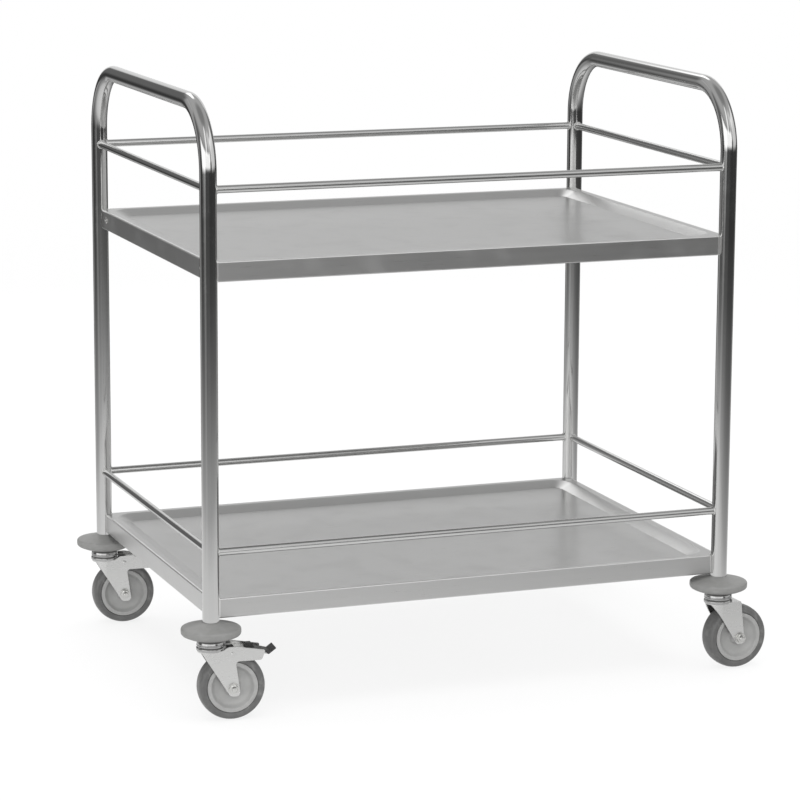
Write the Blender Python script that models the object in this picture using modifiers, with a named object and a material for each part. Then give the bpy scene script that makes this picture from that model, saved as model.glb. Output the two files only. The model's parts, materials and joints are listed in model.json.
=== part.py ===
"""Two-shelf stainless steel service trolley on four swivel castors.

Metres, +Z up, wheels on z = 0. X runs along the shelves, from one push handle to the other.
"""

import math

import bmesh
import bpy
from mathutils import Matrix, Vector

MM = 0.001
GAP = 0.3 * MM  # running and assembly clearance between neighbouring pieces

# Frame
POST_SPACING_X = 820 * MM
POST_SPACING_Y = 580 * MM
TUBE_RADIUS = 12.5 * MM
TUBE_WALL = 1.5 * MM
HANDLE_Z = 900.5 * MM
HANDLE_BEND = 95 * MM
POST_FOOT_Z = 148 * MM
RAIL_RADIUS = 6 * MM
RAIL_HEIGHTS = {"upper": 782 * MM, "lower": 251 * MM}
HALF_X = POST_SPACING_X / 2
HALF_Y = POST_SPACING_Y / 2

# Shelves, pressed from sheet
SHELF_TOPS = {"upper": 678 * MM, "lower": 181 * MM}
SHEET = 1.2 * MM
SKIRT_HEIGHT = 30 * MM
SKIRT_LIP = 10 * MM
RIM_WIDTH = 13 * MM
PANEL_SLOPE = 21 * MM
PANEL_DROP = 9 * MM
PANEL_CORNER = 34 * MM
NOTCH_RADIUS = TUBE_RADIUS + GAP
SCREW_FROM_POST = 36 * MM
SCREW_BELOW_TOP = 14 * MM
SCREW_HEAD_RADIUS = 4.5 * MM
SCREW_HEAD_HEIGHT = 1.5 * MM
SCREW_RADIUS = 2 * MM
SCREW_LENGTH = 10 * MM

# Castors
TRAIL = 29 * MM
WHEEL_RADIUS = 50 * MM
AXLE_Z = WHEEL_RADIUS
FORK_INNER = 18 * MM
FORK_SHEET = 2.5 * MM
FORK_OUTER = FORK_INNER + FORK_SHEET
CROWN_TOP = 108 * MM
CROWN_SHEET = 3 * MM
RACE_TOP = 111.8 * MM
RACE_RADIUS = 22 * MM
CAP_TOP = 123 * MM
BUMPER_RADIUS = 44.4 * MM
STEM_RADIUS = 6 * MM
STEM_TOP = 205 * MM
STEM_BORE = STEM_RADIUS + GAP
BOLT_RADIUS = 4 * MM
BOLT_BORE = BOLT_RADIUS + GAP
HEX_RADIUS = 7.5 * MM
HEX_HEIGHT = 6 * MM
BOLT_STICK_OUT = 3.5 * MM
SLEEVE_RADIUS = 6 * MM
BRAKE_PIVOT = Vector((28.5 * MM, 0, 102 * MM))
TRUNNION_RADIUS = 2.9 * MM
STRAP_TOP = 107 * MM
STRAP_BEND_X = BRAKE_PIVOT.x + 25 * MM
STRAP_FALL = 0.27
PEDAL_ROOT_X = BRAKE_PIVOT.x + 51.3 * MM
PEDAL_WIDTH = 24 * MM
PEDAL_COVER = 2 * MM
PEDAL_NOSE = 14.3 * MM
PEDAL_NOSE_THICK = 3.6 * MM
PEDAL_UPTURN = math.radians(36.5)
PEDAL_TAB = 6.3 * MM
PEDAL_TAB_WIDTH = 10 * MM

# Where each castor sits, which way its wheel trails from +X, and whether it has a brake
CASTORS = {
    "front_left": (-1, -1, math.radians(-5), True),
    "back_left": (-1, 1, math.radians(-5), True),
    "front_right": (1, -1, math.radians(3), False),
    "back_right": (1, 1, math.radians(3), False),
}

# Each castor's pieces and their materials: fixed to the post, on the axle, and on the brake's pivot
FIXED_PIECES = {
    "bumper": "bumper_rubber",
    "expander": "expander_plastic",
    "stem": "fastener_steel",
    "swivel_cap": "race_steel",
}
AXLE_PIECES = {
    "axle_bolt": "fastener_steel",
    "axle_nut": "fastener_steel",
    "axle_sleeve": "fastener_steel",
    "wheel_hub": "hub_plastic",
    "tyre": "tyre_rubber",
}
BRAKE_PIECES = {"brake_lever": "fork_steel", "brake_pad": "pedal_plastic"}

# Round pieces
TUBE_SIDES = 16
BEND_STEPS = 8
RAIL_SIDES = 10
CORNER_STEPS = 6
LATHE_STEPS = 20
TYRE_STEPS = 28
NOSE_STEPS = 12
SMALL_STEPS = 12
WELD = 0.00001

MATERIALS = {
    "tube_steel": ((0.60, 0.60, 0.59), 1.0, 0.16),
    "rail_steel": ((0.58, 0.58, 0.57), 1.0, 0.20),
    "shelf_steel": ((0.52, 0.52, 0.51), 1.0, 0.38),
    "fork_steel": ((0.66, 0.66, 0.65), 1.0, 0.34),
    "race_steel": ((0.55, 0.55, 0.55), 1.0, 0.14),
    "fastener_steel": ((0.62, 0.62, 0.60), 1.0, 0.28),
    "bumper_rubber": ((0.24, 0.24, 0.235), 0.0, 0.55),
    "tyre_rubber": ((0.12, 0.12, 0.118), 0.0, 0.50),
    "hub_plastic": ((0.36, 0.36, 0.35), 0.0, 0.45),
    "expander_plastic": ((0.05, 0.05, 0.05), 0.0, 0.60),
    "pedal_plastic": ((0.035, 0.035, 0.035), 0.0, 0.45),
}


# Scene and object helpers


def clear_scene():
    for obj in list(bpy.data.objects):
        bpy.data.objects.remove(obj, do_unlink=True)


def new_collection(name):
    collection = bpy.data.collections.new(name)
    bpy.context.scene.collection.children.link(collection)
    return collection


def make_materials():
    made = {}
    for name, (colour, metallic, roughness) in MATERIALS.items():
        material = bpy.data.materials.new(name)
        material.use_nodes = True
        shader = material.node_tree.nodes["Principled BSDF"]
        shader.inputs["Base Color"].default_value = (*colour, 1)
        shader.inputs["Metallic"].default_value = metallic
        shader.inputs["Roughness"].default_value = roughness
        material.diffuse_color = (*colour, 1)
        made[name] = material
    return made


class Workshop:
    """The collections that new objects go into, and the materials they take."""

    def __init__(self):
        self.parts = new_collection("service_trolley")
        self.cutters = new_collection("cutters")
        self.cutters.hide_render = True
        self.materials = make_materials()

    def empty(self, name, parent=None, location=(0, 0, 0), turn=0.0):
        obj = bpy.data.objects.new(name, None)
        obj.parent = parent
        obj.location = location
        obj.rotation_euler = (0, 0, turn)
        self.parts.objects.link(obj)
        return obj

    def part(self, name, mesh, material, parent, location=(0, 0, 0), rotation=(0, 0, 0)):
        if not mesh.materials:
            mesh.materials.append(self.materials[material])
        obj = bpy.data.objects.new(name, mesh)
        obj.parent = parent
        obj.location = location
        obj.rotation_euler = rotation
        self.parts.objects.link(obj)
        return obj

    def cutter(self, name, mesh, parent=None, location=(0, 0, 0)):
        obj = bpy.data.objects.new(name, mesh)
        obj.parent = parent
        obj.location = location
        obj.hide_render = True
        obj.display_type = "WIRE"
        self.cutters.objects.link(obj)
        return obj


def smooth(mesh, sharp_degrees=35):
    mesh.shade_smooth()
    mesh.set_sharp_from_angle(angle=math.radians(sharp_degrees))


def mesh_from(bm, name):
    bmesh.ops.recalc_face_normals(bm, faces=bm.faces)
    mesh = bpy.data.meshes.new(name)
    bm.to_mesh(mesh)
    bm.free()
    smooth(mesh)
    return mesh


def evaluated_mesh(name, obj):
    """The object's shape with its modifiers applied, welded, as a mesh of its own. The object goes."""
    graph = bpy.context.evaluated_depsgraph_get()
    mesh = bpy.data.meshes.new_from_object(obj.evaluated_get(graph))
    bpy.data.objects.remove(obj, do_unlink=True)
    mesh.name = name
    bm = bmesh.new()
    bm.from_mesh(mesh)
    bmesh.ops.remove_doubles(bm, verts=bm.verts, dist=WELD)
    bmesh.ops.recalc_face_normals(bm, faces=bm.faces)
    bm.to_mesh(mesh)
    bm.free()
    mesh.materials.clear()
    smooth(mesh)
    return mesh


def loose_object(name, data):
    obj = bpy.data.objects.new(name, data)
    bpy.context.scene.collection.objects.link(obj)
    return obj


# Shape helpers


def arc_points(centre, radius, start, sweep, steps):
    """Points on an arc in a plane, both ends included."""
    points = []
    for step in range(steps + 1):
        angle = start + sweep * step / steps
        points.append(centre + radius * Vector((math.cos(angle), math.sin(angle))))
    return points


def rounded_outline(corners, steps=CORNER_STEPS):
    """A closed outline through (x, y, radius) corners, with each corner rounded by its radius."""
    outline = []
    for index, (x, y, radius) in enumerate(corners):
        corner = Vector((x, y))
        before = Vector(corners[index - 1][:2]) - corner
        after = Vector(corners[(index + 1) % len(corners)][:2]) - corner
        if radius == 0:
            outline.append(corner)
            continue
        half = before.angle(after) / 2
        start = corner + before.normalized() * radius / math.tan(half)
        centre = corner + (before.normalized() + after.normalized()).normalized() * radius / math.sin(half)
        first = start - centre
        last = corner + after.normalized() * radius / math.tan(half) - centre
        sweep = math.atan2(first.cross(last), first.dot(last))
        angle = math.atan2(first.y, first.x)
        outline += arc_points(centre, radius, angle, sweep, steps)
    return outline


def circle_outline(x, y, radius, steps=SMALL_STEPS):
    centre = Vector((x, y))
    return arc_points(centre, radius, 0, math.tau, steps)[:-1]


def plate_mesh(name, outlines, low, high):
    """A flat plate from low to high in Z. Outlines after the first are holes in it."""
    curve = bpy.data.curves.new(name, "CURVE")
    curve.dimensions = "2D"
    curve.fill_mode = "BOTH"
    curve.extrude = (high - low) / 2
    for outline in outlines:
        spline = curve.splines.new("POLY")
        spline.points.add(len(outline) - 1)
        spline.use_cyclic_u = True
        for point, corner in zip(spline.points, outline):
            point.co = (corner.x, corner.y, 0, 1)
    mesh = evaluated_mesh(name, loose_object(name, curve))
    bpy.data.curves.remove(curve)
    mesh.transform(Matrix.Translation((0, 0, (low + high) / 2)))
    return mesh


def upright_plate_mesh(name, outlines, low, high):
    """The same plate stood up: the outline's x and y become X and Z, and it spans low to high in Y."""
    mesh = plate_mesh(name, outlines, -high, -low)
    mesh.transform(Matrix.Rotation(math.pi / 2, 4, "X"))
    return mesh


def lathe_mesh(name, profile, steps=LATHE_STEPS, closed=True):
    """A solid of revolution about Z. The profile's (radius, z) points run down its outer side.

    A closed profile makes a ring. An open one starts and ends on the axis.
    """
    count = len(profile)
    edges = [(i, i + 1) for i in range(count - 1)]
    if closed:
        edges.append((count - 1, 0))
    mesh = bpy.data.meshes.new(name)
    mesh.from_pydata([(r, 0, z) for r, z in profile], edges, [])
    obj = loose_object(name, mesh)
    screw = obj.modifiers.new("turn", "SCREW")
    screw.steps = steps
    screw.render_steps = steps
    screw.use_merge_vertices = True
    screw.merge_threshold = WELD
    turned = evaluated_mesh(name, obj)
    bpy.data.meshes.remove(mesh)
    return turned


def boolean_mesh(name, base, others, operation):
    """The base mesh joined with, or cut by, every other mesh."""
    obj = loose_object(name, base)
    tools = [loose_object(name + "_tool", other) for other in others]
    for tool in tools:
        modifier = obj.modifiers.new(operation.lower(), "BOOLEAN")
        modifier.operation = operation
        modifier.solver = "EXACT"
        modifier.object = tool
    result = evaluated_mesh(name, obj)
    for tool in tools:
        bpy.data.objects.remove(tool, do_unlink=True)
    return result


def rod_mesh(name, radius, low, high, steps=SMALL_STEPS):
    """A plain round rod along Z."""
    bm = bmesh.new()
    bmesh.ops.create_cone(
        bm, cap_ends=True, segments=steps, radius1=radius, radius2=radius, depth=high - low
    )
    bmesh.ops.translate(bm, verts=bm.verts, vec=(0, 0, (low + high) / 2))
    return mesh_from(bm, name)


def across(mesh):
    """Turns a mesh made along Z so that it lies along -Y."""
    mesh.transform(Matrix.Rotation(math.pi / 2, 4, "X"))
    return mesh


# Frame


def end_frame_path():
    """The tube's centre line in Y and Z: up one post, over the handle and down the other."""
    rise = HANDLE_Z - HANDLE_BEND
    reach = HALF_Y - HANDLE_BEND
    path = [Vector((-HALF_Y, POST_FOOT_Z))]
    path += arc_points(Vector((-reach, rise)), HANDLE_BEND, math.pi, -math.pi / 2, BEND_STEPS)
    path += arc_points(Vector((reach, rise)), HANDLE_BEND, math.pi / 2, -math.pi / 2, BEND_STEPS)
    path.append(Vector((HALF_Y, POST_FOOT_Z)))
    return path


def end_frame_mesh():
    """The bent tube's outer skin, thickened inwards to its wall. Its feet are open."""
    curve = bpy.data.curves.new("end_frame", "CURVE")
    curve.dimensions = "3D"
    curve.bevel_depth = TUBE_RADIUS
    curve.bevel_resolution = (TUBE_SIDES - 4) // 2
    path = end_frame_path()
    spline = curve.splines.new("POLY")
    spline.points.add(len(path) - 1)
    for point, place in zip(spline.points, path):
        point.co = (0, place.x, place.y, 1)
    skin = evaluated_mesh("end_frame_skin", loose_object("end_frame_skin", curve))
    bpy.data.curves.remove(curve)
    obj = loose_object("end_frame_wall", skin)
    wall = obj.modifiers.new("wall", "SOLIDIFY")
    wall.thickness = TUBE_WALL
    wall.offset = -1
    return evaluated_mesh("end_frame", obj)


def build_end_frames(shop, root):
    mesh = end_frame_mesh()
    for side, sign in (("left", -1), ("right", 1)):
        shop.part("end_frame_" + side, mesh, "tube_steel", root, (sign * HALF_X, 0, 0))


def rail_mesh(name, length):
    """A round bar along X whose ends are cut to fit round the posts."""
    bar = rod_mesh(name, RAIL_RADIUS, -length / 2, length / 2, RAIL_SIDES)
    bar.transform(Matrix.Rotation(math.pi / 2, 4, "Y"))
    posts = []
    for end in (-1, 1):
        post = rod_mesh("post_cutter", TUBE_RADIUS + GAP, -2 * TUBE_RADIUS, 2 * TUBE_RADIUS, TUBE_SIDES)
        post.transform(Matrix.Translation((end * length / 2, 0, 0)))
        posts.append(post)
    return boolean_mesh(name, bar, posts, "DIFFERENCE")


def build_rails(shop, root):
    long_rail = rail_mesh("long_rail", POST_SPACING_X)
    short_rail = rail_mesh("short_rail", POST_SPACING_Y)
    for level, height in RAIL_HEIGHTS.items():
        for side, sign in (("front", -1), ("back", 1)):
            place = (0, sign * HALF_Y, height)
            shop.part(f"{level}_rail_{side}", long_rail, "rail_steel", root, place)
        for side, sign in (("left", -1), ("right", 1)):
            place = (sign * HALF_X, 0, height)
            turn = (0, 0, math.pi / 2)
            shop.part(f"{level}_rail_{side}", short_rail, "rail_steel", root, place, turn)


# Shelves


def notched_outline(inset):
    """The shelf's outer edge, moved inwards, with a concave notch round each post."""
    radius = NOTCH_RADIUS + inset
    start = math.asin(inset / radius)
    sweep = math.pi / 2 - 2 * start
    outline = []
    for quarter in range(4):
        turn = quarter * math.pi / 2
        side_x = 1 if quarter in (0, 3) else -1
        side_y = 1 if quarter in (0, 1) else -1
        post = Vector((side_x * HALF_X, side_y * HALF_Y))
        outline += arc_points(post, radius, turn - math.pi / 2 - start, -sweep, CORNER_STEPS)
    return outline


def panel_outline(inset):
    """The sunken panel's edge, with convex corners, in step with notched_outline."""
    radius = PANEL_CORNER - (inset - RIM_WIDTH)
    outline = []
    for quarter in range(4):
        turn = quarter * math.pi / 2
        side_x = 1 if quarter in (0, 3) else -1
        side_y = 1 if quarter in (0, 1) else -1
        centre = Vector((side_x * (HALF_X - inset - radius), side_y * (HALF_Y - inset - radius)))
        outline += arc_points(centre, radius, turn, math.pi / 2, CORNER_STEPS)
    return outline


def shelf_mesh():
    """The pressing's outer skin, from the lip under the skirt to the panel, thickened to the sheet."""
    slope_foot = RIM_WIDTH + PANEL_SLOPE
    loops = [
        (notched_outline(SKIRT_LIP), -SKIRT_HEIGHT),
        (notched_outline(0), -SKIRT_HEIGHT),
        (notched_outline(0), 0),
        (panel_outline(RIM_WIDTH), 0),
        (panel_outline(slope_foot), -PANEL_DROP),
    ]
    bm = bmesh.new()
    rings = [[bm.verts.new((*point, height)) for point in outline] for outline, height in loops]
    for lower, upper in zip(rings, rings[1:]):
        for index in range(len(lower)):
            bm.faces.new((lower[index - 1], lower[index], upper[index], upper[index - 1]))
    bm.faces.new(rings[-1])
    skin = mesh_from(bm, "shelf_skin")
    obj = loose_object("shelf_skin", skin)
    wall = obj.modifiers.new("sheet", "SOLIDIFY")
    wall.thickness = SHEET
    wall.offset = -1
    wall.use_even_offset = True
    return evaluated_mesh("shelf", obj)


def screw_places():
    for side, sign in (("front", -1), ("back", 1)):
        y = sign * (HALF_Y - SCREW_FROM_POST)
        yield side, Vector((-HALF_X, y, SHELF_TOPS["upper"] - SCREW_BELOW_TOP))


def build_shelves(shop, root):
    mesh = shelf_mesh()
    upper = shop.part("upper_shelf", mesh, "shelf_steel", root, (0, 0, SHELF_TOPS["upper"]))
    shop.part("lower_shelf", mesh, "shelf_steel", root, (0, 0, SHELF_TOPS["lower"]))
    for side, place in screw_places():
        hole = rod_mesh("screw_hole", SCREW_RADIUS + GAP, -5 * SHEET, 5 * SHEET)
        hole.transform(Matrix.Rotation(math.pi / 2, 4, "Y"))
        cut = upper.modifiers.new("screw_hole_" + side, "BOOLEAN")
        cut.operation = "DIFFERENCE"
        cut.solver = "EXACT"
        cut.object = shop.cutter("screw_hole_" + side, hole, root, place)


def build_skirt_screws(shop, root):
    """Low round heads on the outside of the upper shelf's left skirt, with their shanks inside."""
    head = SCREW_HEAD_RADIUS
    crown = GAP + SCREW_HEAD_HEIGHT
    profile = [
        (0, crown),
        (0.7 * head, crown),
        (head, GAP + 0.4 * SCREW_HEAD_HEIGHT),
        (head, GAP),
        (SCREW_RADIUS, GAP),
        (SCREW_RADIUS, -SCREW_LENGTH),
        (0, -SCREW_LENGTH),
    ]
    mesh = lathe_mesh("skirt_screw", profile, SMALL_STEPS, closed=False)
    mesh.transform(Matrix.Rotation(-math.pi / 2, 4, "Y"))
    for side, place in screw_places():
        shop.part("skirt_screw_" + side, mesh, "fastener_steel", root, place)


# Castor pieces that stay with the frame, each about the post's axis


def bumper_mesh():
    """A domed rubber disc, thickest at the post, with a rounded rim."""
    seat = POST_FOOT_Z - GAP
    rim = 134 * MM
    profile = [
        (STEM_BORE, seat),
        (TUBE_RADIUS + 1 * MM, seat),
        (30 * MM, rim + 9 * MM),
        (41 * MM, rim + 3.4 * MM),
        (BUMPER_RADIUS, rim),
        (43.4 * MM, rim - 3.5 * MM),
        (40 * MM, rim - 6.5 * MM),
        (34 * MM, rim - 9 * MM),
        (RACE_RADIUS, CAP_TOP + GAP),
        (STEM_BORE, CAP_TOP + GAP),
    ]
    return lathe_mesh("bumper", profile)


def expander_mesh():
    """The plug that swells inside the post's foot and holds the stem."""
    outer = TUBE_RADIUS - TUBE_WALL - GAP
    low = POST_FOOT_Z + 2 * MM
    high = STEM_TOP - 10 * MM
    chamfer = 1.5 * MM
    profile = [
        (STEM_BORE, high),
        (outer - chamfer, high),
        (outer, high - chamfer),
        (outer, low),
        (STEM_BORE, low),
    ]
    return lathe_mesh("expander", profile, SMALL_STEPS)


def stem_mesh():
    """The king pin: a riveted head under the fork's crown and a shank up into the post."""
    head = 9 * MM
    head_top = CROWN_TOP - CROWN_SHEET - GAP
    head_low = head_top - 2.8 * MM
    chamfer = 1 * MM
    profile = [
        (0, STEM_TOP),
        (STEM_RADIUS - chamfer, STEM_TOP),
        (STEM_RADIUS, STEM_TOP - chamfer),
        (STEM_RADIUS, head_top),
        (head, head_top),
        (head - chamfer, head_low),
        (0, head_low),
    ]
    return lathe_mesh("stem", profile, SMALL_STEPS, closed=False)


def swivel_cap_mesh():
    """The upper race, a round steel cup that the fork turns against."""
    outer = RACE_RADIUS - 0.5 * MM
    low = RACE_TOP + GAP
    profile = [
        (STEM_BORE, CAP_TOP),
        (outer - 4 * MM, CAP_TOP),
        (outer, CAP_TOP - 3 * MM),
        (outer, low + 1 * MM),
        (outer - 1 * MM, low),
        (STEM_BORE, low),
    ]
    return lathe_mesh("swivel_cap", profile)


# Castor pieces that swivel, in the castor's own frame: the wheel trails towards +X


def plain_fork_outline():
    """The plain fork from the side: a triangle from the crown down to a lobe round the axle."""
    return rounded_outline(
        [
            (-22 * MM, CROWN_TOP, 1 * MM),
            (TRAIL + 1 * MM, CROWN_TOP, 2 * MM),
            (TRAIL + 8.5 * MM, AXLE_Z - 10 * MM, 5 * MM),
            (TRAIL - 5 * MM, AXLE_Z - 10 * MM, 5 * MM),
        ]
    )


def braked_fork_outline():
    """The braked fork from the side adds an arm that reaches back over the wheel, beside the pedal."""
    arm_top = CROWN_TOP + 4.5 * MM
    arm_low = CROWN_TOP - 17.5 * MM
    arm_end = TRAIL + 48 * MM
    return rounded_outline(
        [
            (-22 * MM, CROWN_TOP - 1 * MM, 1 * MM),
            (12 * MM, CROWN_TOP - 1 * MM, 8 * MM),
            (21 * MM, arm_top, 8 * MM),
            (TRAIL + 6 * MM, arm_top, 30 * MM),
            (arm_end, CROWN_TOP - 3 * MM, 2 * MM),
            (arm_end - 5.5 * MM, arm_low, 4 * MM),
            (TRAIL + 3.4 * MM, arm_low, 5 * MM),
            (TRAIL + 10.5 * MM, AXLE_Z - 12.3 * MM, 6 * MM),
            (TRAIL - 4.5 * MM, AXLE_Z - 12.3 * MM, 7 * MM),
        ]
    )


def nose_arc(radius, sweep):
    """Half a circle about the post, in front of it. Its sweep's sign says which side it starts on."""
    start = math.copysign(math.pi / 2, sweep)
    return arc_points(Vector((0, 0)), radius, start, sweep, NOSE_STEPS)


def fork_wall_outline():
    """The fork's walls from above: two parallel sides joined by a round nose."""
    end = TRAIL + 60 * MM
    return [
        Vector((end, -FORK_OUTER)),
        *nose_arc(FORK_OUTER, -math.pi),
        Vector((end, FORK_OUTER)),
        Vector((end, FORK_INNER)),
        *nose_arc(FORK_INNER, math.pi),
        Vector((end, -FORK_INNER)),
    ]


def crown_outline(front):
    """The crown from above: round in front of the post, square behind it."""
    side = FORK_OUTER - 0.4 * MM
    return [*nose_arc(side, -math.pi), Vector((front, side)), Vector((front, -side))]


def fork_mesh(braked):
    """Walls cut to the side outline, joined by a crown that carries the lower race."""
    name = "braked_fork" if braked else "plain_fork"
    outline = braked_fork_outline() if braked else plain_fork_outline()
    holes = [circle_outline(TRAIL, AXLE_Z, BOLT_BORE)]
    if braked:
        holes.append(circle_outline(BRAKE_PIVOT.x, BRAKE_PIVOT.z, TRUNNION_RADIUS + GAP))
    reach = 2 * FORK_OUTER
    side_cut = upright_plate_mesh(name + "_side", [outline, *holes], -reach, reach)
    wall = plate_mesh(name + "_wall", [fork_wall_outline()], 0, 2 * CROWN_TOP)
    walls = boolean_mesh(name + "_walls", wall, [side_cut], "INTERSECT")
    crown_plan = crown_outline((20 if braked else 29) * MM)
    crown = plate_mesh(name + "_crown", [crown_plan], CROWN_TOP - CROWN_SHEET, CROWN_TOP - 0.2 * MM)
    race_low = CROWN_TOP - CROWN_SHEET + 0.4 * MM
    race = lathe_mesh(
        name + "_race",
        [
            (0, RACE_TOP),
            (RACE_RADIUS - 1.5 * MM, RACE_TOP),
            (RACE_RADIUS, RACE_TOP - 1.5 * MM),
            (RACE_RADIUS, race_low + 1 * MM),
            (RACE_RADIUS - 1 * MM, race_low),
            (0, race_low),
        ],
        closed=False,
    )
    joined = boolean_mesh(name, crown, [race, walls], "UNION")
    bore = rod_mesh(name + "_bore", STEM_BORE, AXLE_Z, CAP_TOP)
    return boolean_mesh(name, joined, [bore], "DIFFERENCE")


def axle_bolt_mesh():
    """A hexagon bolt along Y: its head at +Y, its threaded end past the nut at -Y."""
    head_face = FORK_OUTER + GAP
    end = head_face + HEX_HEIGHT + BOLT_STICK_OUT
    head = rod_mesh("bolt_head", HEX_RADIUS, -head_face - HEX_HEIGHT, -head_face, 6)
    shank = rod_mesh("bolt_shank", BOLT_RADIUS, -head_face - 1 * MM, end)
    return across(boolean_mesh("axle_bolt", head, [shank], "UNION"))


def axle_nut_mesh():
    low = FORK_OUTER + GAP
    nut = rod_mesh("axle_nut", HEX_RADIUS, low, low + HEX_HEIGHT, 6)
    bore = rod_mesh("nut_bore", BOLT_BORE, low - 1 * MM, low + HEX_HEIGHT + 1 * MM)
    return across(boolean_mesh("axle_nut", nut, [bore], "DIFFERENCE"))


def axle_sleeve_mesh():
    half = FORK_INNER - GAP
    profile = [(BOLT_BORE, half), (SLEEVE_RADIUS, half), (SLEEVE_RADIUS, -half), (BOLT_BORE, -half)]
    return across(lathe_mesh("axle_sleeve", profile, SMALL_STEPS))


def mirrored_profile(half):
    """A profile that is the same below z = 0 as above it."""
    return half + [(radius, -height) for radius, height in reversed(half)]


def wheel_hub_mesh():
    """A plastic wheel centre: a boss, a dished web and a rim that carries the tyre."""
    bore = SLEEVE_RADIUS + GAP
    half = [
        (bore, 17 * MM),
        (10.5 * MM, 17 * MM),
        (13 * MM, 11.5 * MM),
        (31 * MM, 11.5 * MM),
        (34 * MM, 15.5 * MM),
        (37.8 * MM, 15.5 * MM),
    ]
    return across(lathe_mesh("wheel_hub", mirrored_profile(half)))


def tyre_mesh():
    """A grey rubber tyre with flat sides, round shoulders and a slightly crowned tread."""
    half = [
        (38.1 * MM, 15.2 * MM),
        (44.5 * MM, 16 * MM),
        (48.2 * MM, 13.2 * MM),
        (49.6 * MM, 8 * MM),
        (WHEEL_RADIUS, 2 * MM),
    ]
    return across(lathe_mesh("tyre", mirrored_profile(half), TYRE_STEPS))


# Brake


def strap_height(x):
    """The top of the brake lever's strap: level near the pivot, then falling towards the tip."""
    return STRAP_TOP - STRAP_FALL * max(0, x - STRAP_BEND_X)


def brake_lever_mesh():
    """A pressed lever between the fork's arms, hung on two trunnions, with a shoe over the tyre."""
    cheek_outer = FORK_INNER - GAP
    cheek_inner = cheek_outer - 1.9 * MM
    pivot = BRAKE_PIVOT
    cheek = rounded_outline(
        [
            (pivot.x - 5 * MM, pivot.z - 4 * MM, 3 * MM),
            (pivot.x + 12 * MM, pivot.z - 4 * MM, 2 * MM),
            (STRAP_BEND_X, STRAP_TOP - 3.5 * MM, 2 * MM),
            (STRAP_BEND_X, STRAP_TOP, 0),
            (pivot.x - 5 * MM, STRAP_TOP, 2 * MM),
        ],
        steps=2,
    )
    trunnions = []
    for side in (-1, 1):
        ends = sorted((side * (cheek_inner + 0.5 * MM), side * (FORK_OUTER + 0.6 * MM)))
        pin = across(rod_mesh("trunnion", TRUNNION_RADIUS, *ends))
        pin.transform(Matrix.Translation(pivot))
        trunnions.append(pin)
    thick = 1.8 * MM
    start = pivot.x + 6.5 * MM
    tip = PEDAL_ROOT_X - 0.5 * MM
    strap = rounded_outline(
        [
            (start, STRAP_TOP - 0.3 * MM - thick, 0),
            (STRAP_BEND_X, STRAP_TOP - 0.3 * MM - thick, 0),
            (tip, strap_height(tip) - 0.3 * MM - thick, 0),
            (tip, strap_height(tip) - 0.3 * MM, 0),
            (STRAP_BEND_X, STRAP_TOP - 0.3 * MM, 0),
            (start, STRAP_TOP - 0.3 * MM, 0),
        ]
    )
    half_strap = cheek_outer - 0.4 * MM
    shoe_low = Vector((pivot.x + 12.5 * MM, pivot.z - 1 * MM))
    shoe = rounded_outline(
        [
            (shoe_low.x, shoe_low.y, 0),
            (shoe_low.x + 6 * MM, shoe_low.y, 0),
            (shoe_low.x + 6 * MM, STRAP_TOP - 1 * MM, 0),
            (shoe_low.x, STRAP_TOP - 1 * MM, 0),
        ]
    )
    plate = upright_plate_mesh("strap", [strap], -half_strap, half_strap)
    others = [
        upright_plate_mesh("cheek", [cheek], -cheek_outer, -cheek_inner),
        upright_plate_mesh("cheek", [cheek], cheek_inner, cheek_outer),
        upright_plate_mesh("shoe", [shoe], -8 * MM, 8 * MM),
        *trunnions,
    ]
    lever = boolean_mesh("brake_lever", plate, others, "UNION")
    lever.transform(Matrix.Translation(-pivot))
    return lever


def brake_pad_mesh():
    """The pedal's plastic cover: a strip on the strap, an upturned nose and a tab that releases it."""
    lift = PEDAL_COVER
    root = PEDAL_ROOT_X
    cover_start = BRAKE_PIVOT.x + 21.5 * MM
    along = Vector((math.cos(PEDAL_UPTURN), math.sin(PEDAL_UPTURN)))
    under = Vector((root + 4 * MM, strap_height(root) - 4.4 * MM))
    over = under + PEDAL_NOSE_THICK * Vector((-along.y, along.x))
    crease = over + 4 * MM * along
    strip = [
        Vector((cover_start, STRAP_TOP)),
        Vector((STRAP_BEND_X, STRAP_TOP)),
        Vector((root, strap_height(root))),
        Vector((root, strap_height(root) - 2.4 * MM)),
        under,
        under + PEDAL_NOSE * along,
        over + PEDAL_NOSE * along,
        crease,
        Vector((STRAP_BEND_X, STRAP_TOP + lift)),
        Vector((cover_start, STRAP_TOP + lift)),
    ]
    tab_low = STRAP_TOP + 0.5 * lift
    tab = [
        Vector((cover_start + 1 * MM, tab_low)),
        Vector((cover_start + 14 * MM, tab_low - 2 * MM)),
        Vector((cover_start + 9 * MM, STRAP_TOP + PEDAL_TAB)),
        Vector((cover_start + 1 * MM, STRAP_TOP + PEDAL_TAB)),
    ]
    half = PEDAL_WIDTH / 2
    half_tab = PEDAL_TAB_WIDTH / 2
    cover = upright_plate_mesh("pedal_cover", [strip], -half, half)
    knob = upright_plate_mesh("pedal_tab", [tab], -half_tab, half_tab)
    pad = boolean_mesh("brake_pad", cover, [knob], "UNION")
    pad.transform(Matrix.Translation(-BRAKE_PIVOT))
    return pad


# Assembly


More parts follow.
